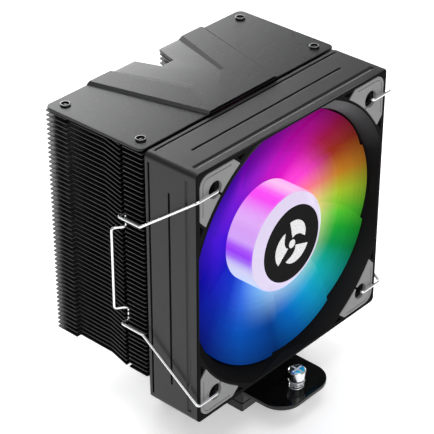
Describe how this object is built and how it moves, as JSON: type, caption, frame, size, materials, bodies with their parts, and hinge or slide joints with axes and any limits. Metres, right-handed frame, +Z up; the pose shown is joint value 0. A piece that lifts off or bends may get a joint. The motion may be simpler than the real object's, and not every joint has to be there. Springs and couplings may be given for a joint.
{
  "type": "cpu tower cooler",
  "caption": "Single tower CPU air cooler: black finned stack on U-shaped heatpipes, grey top cover with a rear notch, lit axial fan held by wire clips, spring screw mounting bar.",
  "frame": {"origin": "centre of the cold plate's underside, the face that rests on the processor", "axes": "+Z up through the tower, -Y is the fan's intake side, +X to the right seen from the intake side"},
  "size_m": [0.1278, 0.0952, 0.1466],
  "materials": {
    "nickel": "nickel plated copper, lapped",
    "block": "black coated aluminium",
    "heatpipe": "black nickel on copper",
    "bar": "gloss black",
    "bright_steel": "bright nickel plated steel",
    "spring_clip": "phosphated spring steel",
    "fin": "black coated aluminium sheet",
    "cover": "grey anodised, fine bead blast",
    "screw": "satin steel",
    "frame": "fine textured black plastic",
    "pad": "matt grey rubber",
    "blade": "frosted translucent plastic, lit from the hub",
    "badge": "satin black disc with a plain white fan symbol",
    "brass": "sintered bronze",
    "core": "laminated steel",
    "copper": "enamelled copper wire",
    "board": "green circuit board",
    "magnet": "ferrite"
  },
  "bodies": {
    "tower": {"cold_plate": "nickel", "base_block": "block", "heatpipe_1": "heatpipe", "heatpipe_2": "heatpipe", "heatpipe_3": "heatpipe", "heatpipe_4": "heatpipe", "mounting_bar": "bar", "bar_screw_front_left": "bright_steel", "bar_screw_front_right": "bright_steel", "bar_screw_rear_left": "bright_steel", "bar_screw_rear_right": "bright_steel", "front_spring": "bright_steel", "rear_spring": "bright_steel", "fin_stack": "fin", "top_cover": "cover", "cover_centre_panel": "cover", "cover_screw_front_left": "screw", "cover_screw_front_right": "screw", "cover_screw_rear_left": "screw", "cover_screw_rear_right": "screw", "fan_frame": "frame", "front_pad_top_left": "pad", "rear_pad_top_left": "pad", "front_pad_top_right": "pad", "rear_pad_top_right": "pad", "front_pad_bottom_left": "pad", "rear_pad_bottom_left": "pad", "front_pad_bottom_right": "pad", "rear_pad_bottom_right": "pad", "bearing_sleeve": "brass", "stator_core": "core", "stator_windings": "copper", "motor_led_board": "board"},
    "rotor": {"fan_rotor": "blade", "hub_badge": "badge", "rotor_yoke": "core", "rotor_magnet": "magnet", "fan_shaft": "bright_steel"},
    "left_clip": {"left_fan_clip": "bright_steel"},
    "right_clip": {"right_fan_clip": "bright_steel"},
    "front_washer": {"front_spring_washer": "bright_steel"},
    "front_screw": {"front_mounting_screw": "bright_steel", "front_retaining_clip": "spring_clip"},
    "rear_washer": {"rear_spring_washer": "bright_steel"},
    "rear_screw": {"rear_mounting_screw": "bright_steel", "rear_retaining_clip": "spring_clip"}
  },
  "joints": [
    {"name": "fan_spin", "type": "hinge", "parent": "tower", "child": "rotor", "pos_m": [0, -0.0253, 0.085], "axis": [0, 1, 0], "continuous": true},
    {"name": "left_clip_swing", "type": "hinge", "parent": "tower", "child": "left_clip", "pos_m": [-0.0585, 0.0045, 0.085], "axis": [0, 0, -1], "range_deg": [0, 28]},
    {"name": "right_clip_swing", "type": "hinge", "parent": "tower", "child": "right_clip", "pos_m": [0.0585, 0.0045, 0.085], "axis": [0, 0, 1], "range_deg": [0, 28]},
    {"name": "front_screw_press", "type": "slide", "parent": "tower", "child": "front_washer", "axis": [0, 0, 1], "range_m": [-0.001, 0], "stiffness_N_per_m": 2500, "springref_m": 0.0005, "deforming": ["front_spring"]},
    {"name": "front_screw_turn", "type": "hinge", "parent": "front_washer", "child": "front_screw", "pos_m": [0, -0.0395, 0.015], "axis": [0, 0, 1], "continuous": true},
    {"name": "rear_screw_press", "type": "slide", "parent": "tower", "child": "rear_washer", "axis": [0, 0, 1], "range_m": [-0.001, 0], "stiffness_N_per_m": 2500, "springref_m": 0.0005, "deforming": ["rear_spring"]},
    {"name": "rear_screw_turn", "type": "hinge", "parent": "rear_washer", "child": "rear_screw", "pos_m": [0, 0.0395, 0.015], "axis": [0, 0, 1], "continuous": true}
  ]
}
